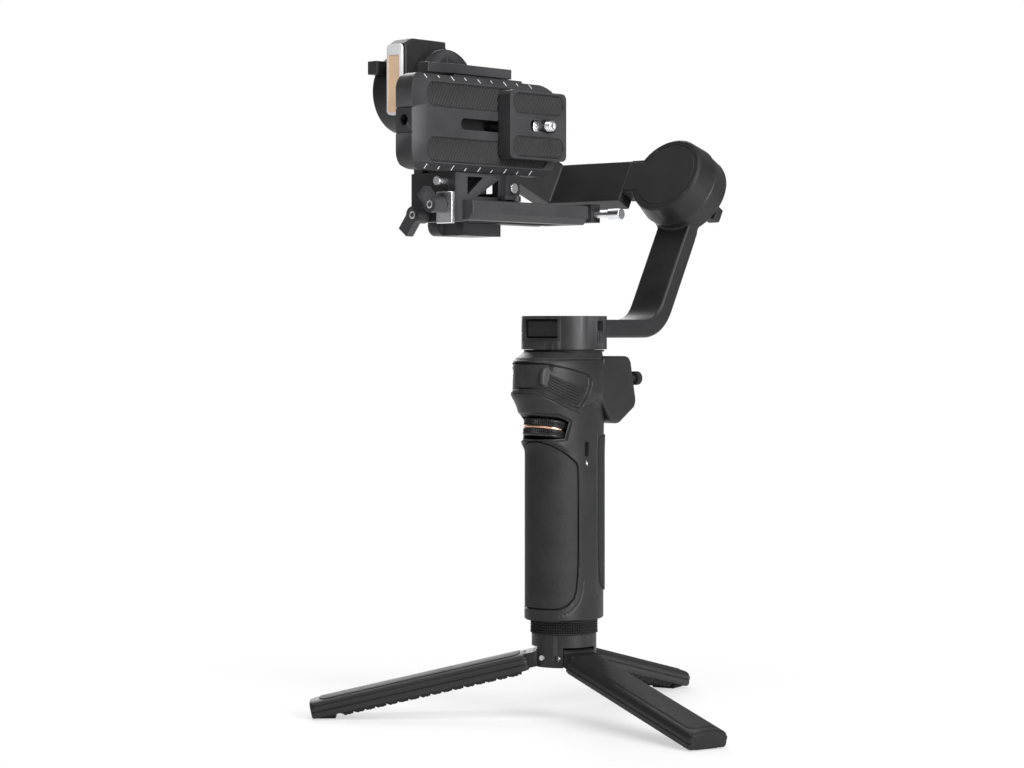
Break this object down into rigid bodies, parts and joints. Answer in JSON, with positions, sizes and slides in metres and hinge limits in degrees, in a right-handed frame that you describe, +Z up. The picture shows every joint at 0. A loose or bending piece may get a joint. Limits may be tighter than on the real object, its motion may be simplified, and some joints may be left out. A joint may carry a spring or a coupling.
{
  "type": "camera gimbal",
  "caption": "Handheld three-axis camera gimbal: motor-driven pan, roll and tilt arms on a battery grip with a folding mini tripod, and sliding quick-release plates.",
  "frame": {"origin": "mouth of the threaded socket under the tripod hub, on the pan axis", "axes": "+Z up along the grip and the pan axis, +Y back towards the operator, +X to the open camera side"},
  "size_m": [0.2725, 0.2511, 0.3929],
  "materials": {
    "shell": "fine spark-eroded soft-touch black",
    "grip_leather": "black textured grip leatherette",
    "soft_rubber": "matte black rubber",
    "display_glass": "gloss black window",
    "cell_wrap": "shrink wrap",
    "circuit_board": "solder mask",
    "bright_steel": "turned and polished",
    "steel": "machined",
    "motor_copper": "wound copper and lacquer",
    "anodised": "bead-blasted black anodised",
    "plate_anodised": "bead-blasted dark grey anodised",
    "wheel_knurl": "knurled black with a copper line",
    "button": "satin red",
    "light_white": "satin white",
    "light_diffuser": "frosted warm diffuser"
  },
  "bodies": {
    "handle": {"casing_left": "shell", "casing_right": "shell", "grip_pad": "grip_leather", "rear_strip": "soft_rubber", "control_pod": "shell", "display": "display_glass", "battery_cells": "cell_wrap", "main_board": "circuit_board", "usb_port": "steel", "casing_screws": "steel", "wheel_carrier": "shell", "pan_stator": "anodised", "pan_bearings": "steel", "tripod_hub": "shell", "lock_ring": "soft_rubber", "hub_screw": "steel", "leg_pins": "steel"},
    "leg_a": {"leg_a": "soft_rubber"},
    "leg_b": {"leg_b": "soft_rubber"},
    "leg_c": {"leg_c": "soft_rubber"},
    "trigger": {"trigger": "shell"},
    "focus_wheel": {"focus_wheel": "wheel_knurl"},
    "joystick": {"joystick": "soft_rubber"},
    "record_button": {"record_button": "button"},
    "pan_head": {"pan_housing": "anodised", "pan_rotor": "steel"},
    "pan_lock_latch": {"pan_lock_latch": "anodised"},
    "pan_clamp_lever": {"pan_clamp_lever": "anodised"},
    "pan_arm": {"pan_arm": "anodised", "roll_stator": "motor_copper", "roll_bearings": "steel"},
    "roll_lock_latch": {"roll_lock_latch": "anodised"},
    "roll_head": {"roll_housing": "anodised", "roll_cover": "shell", "roll_rotor": "steel"},
    "roll_arm": {"roll_arm": "anodised", "tilt_stator": "motor_copper", "light_frame": "light_white", "light_panel": "light_diffuser", "tilt_bearings": "steel"},
    "tilt_lock_latch": {"tilt_lock_latch": "anodised"},
    "tilt_head": {"tilt_rotor": "anodised"},
    "vertical_arm": {"vertical_arm": "anodised"},
    "carriage": {"base_rail": "plate_anodised", "rail_end_clamp": "anodised", "bracket": "anodised", "bracket_screws": "bright_steel", "clamp_jaw": "bright_steel", "plate_clamp": "anodised"},
    "rail_end_screw": {"rail_end_screw": "bright_steel"},
    "rail_latch": {"rail_latch": "anodised"},
    "upper_thumb_lever": {"upper_thumb_lever": "anodised"},
    "lower_thumb_lever": {"lower_thumb_lever": "anodised"},
    "quick_release_lever": {"quick_release_lever": "anodised"},
    "long_plate": {"long_plate": "plate_anodised", "long_plate_pads": "soft_rubber"},
    "camera_plate": {"camera_plate": "plate_anodised", "camera_plate_pads": "soft_rubber"},
    "camera_screw": {"camera_screw": "bright_steel"}
  },
  "joints": [
    {"name": "leg_c_fold", "type": "hinge", "parent": "handle", "child": "leg_c", "pos_m": [-0.00292, 0.01267, 0.0052], "axis": [-0.9744, -0.225, 0], "range_deg": [0, 77]},
    {"name": "leg_a_fold", "type": "hinge", "parent": "handle", "child": "leg_a", "pos_m": [-0.00951, -0.00887, 0.0052], "axis": [0.682, -0.7314, 0], "range_deg": [0, 77]},
    {"name": "leg_b_fold", "type": "hinge", "parent": "handle", "child": "leg_b", "pos_m": [0.01243, -0.0038, 0.0052], "axis": [0.2924, 0.9563, 0], "range_deg": [0, 77]},
    {"name": "trigger_squeeze", "type": "hinge", "parent": "handle", "child": "trigger", "pos_m": [0, -0.0265, 0.1695], "axis": [1, 0, 0], "range_deg": [0, 5], "stiffness_Nm_per_rad": 0.4, "springref_deg": -2.86},
    {"name": "focus_wheel_spin", "type": "hinge", "parent": "handle", "child": "focus_wheel", "pos_m": [0, -0.0148, 0.1345], "axis": [0, 0.1736, 0.9848], "continuous": true},
    {"name": "joystick_tilt", "type": "hinge", "parent": "handle", "child": "joystick", "pos_m": [0.013, 0.037, 0.163], "axis": [1, 0, 0], "range_deg": [-10, 10], "stiffness_Nm_per_rad": 0.02},
    {"name": "record_press", "type": "slide", "parent": "handle", "child": "record_button", "axis": [0, -1, 0], "range_m": [0, 0.0009], "stiffness_N_per_m": 300},
    {"name": "pan", "type": "hinge", "parent": "handle", "child": "pan_head", "pos_m": [0, 0, 0.19], "axis": [0, 0, 1], "continuous": true},
    {"name": "pan_lock_slide", "type": "slide", "parent": "pan_head", "child": "pan_lock_latch", "axis": [0, 0, 1], "range_m": [0, 0.005]},
    {"name": "pan_clamp", "type": "hinge", "parent": "pan_head", "child": "pan_clamp_lever", "pos_m": [-0.01671, 0.02063, 0.19], "axis": [0, 0, -1], "range_deg": [0, 60]},
    {"name": "pan_arm_slide", "type": "slide", "parent": "pan_head", "child": "pan_arm", "axis": [0, 1, 0], "range_m": [-0.004, 0.012]},
    {"name": "roll_lock_slide", "type": "slide", "parent": "pan_arm", "child": "roll_lock_latch", "axis": [1, 0, 0], "range_m": [-0.003, 0]},
    {"name": "roll", "type": "hinge", "parent": "pan_arm", "child": "roll_head", "pos_m": [0, 0, 0.3335], "axis": [0, -0.8829, 0.4695], "range_deg": [-110, 55]},
    {"name": "roll_arm_slide", "type": "slide", "parent": "roll_head", "child": "roll_arm", "axis": [1, 0, 0], "range_m": [-0.012, 0]},
    {"name": "tilt_lock_slide", "type": "slide", "parent": "roll_arm", "child": "tilt_lock_latch", "axis": [1, 0, 0], "range_m": [-0.003, 0]},
    {"name": "tilt", "type": "hinge", "parent": "roll_arm", "child": "tilt_head", "pos_m": [-0.11, 0, 0.3335], "axis": [1, 0, 0], "range_deg": [-120, 75]},
    {"name": "lift_slide", "type": "slide", "parent": "tilt_head", "child": "vertical_arm", "axis": [0, 0, 1], "range_m": [0, 0.015]},
    {"name": "rail_slide", "type": "slide", "parent": "vertical_arm", "child": "carriage", "axis": [0, 1, 0], "range_m": [-0.02, 0]},
    {"name": "rail_end_screw_spin", "type": "hinge", "parent": "carriage", "child": "rail_end_screw", "pos_m": [0, 0.061, 0.2596], "axis": [1, 0, 0], "continuous": true},
    {"name": "rail_latch_turn", "type": "hinge", "parent": "carriage", "child": "rail_latch", "pos_m": [-0.0336, -0.004, 0.265], "axis": [0, 0, 1], "range_deg": [0, 90]},
    {"name": "upper_thumb_lever_turn", "type": "hinge", "parent": "carriage", "child": "upper_thumb_lever", "pos_m": [-0.046, -0.05, 0.2621], "axis": [0, 1, 0], "range_deg": [-70, 0]},
    {"name": "lower_thumb_lever_turn", "type": "hinge", "parent": "carriage", "child": "lower_thumb_lever", "pos_m": [-0.0626, -0.05, 0.2567], "axis": [0, 1, 0], "range_deg": [-60, 0]},
    {"name": "quick_release_turn", "type": "hinge", "parent": "carriage", "child": "quick_release_lever", "pos_m": [-0.053, -0.002, 0.34], "axis": [0, 0, 1], "range_deg": [0, 75]},
    {"name": "long_plate_slide", "type": "slide", "parent": "carriage", "child": "long_plate", "axis": [0, 1, 0], "range_m": [-0.015, 0.015]},
    {"name": "camera_plate_slide", "type": "slide", "parent": "long_plate", "child": "camera_plate", "axis": [0, 1, 0], "range_m": [-0.03, 0]},
    {"name": "camera_screw_spin", "type": "hinge", "parent": "camera_plate", "child": "camera_screw", "pos_m": [-0.03, 0.0145, 0.3095], "axis": [1, 0, 0], "continuous": true}
  ]
}
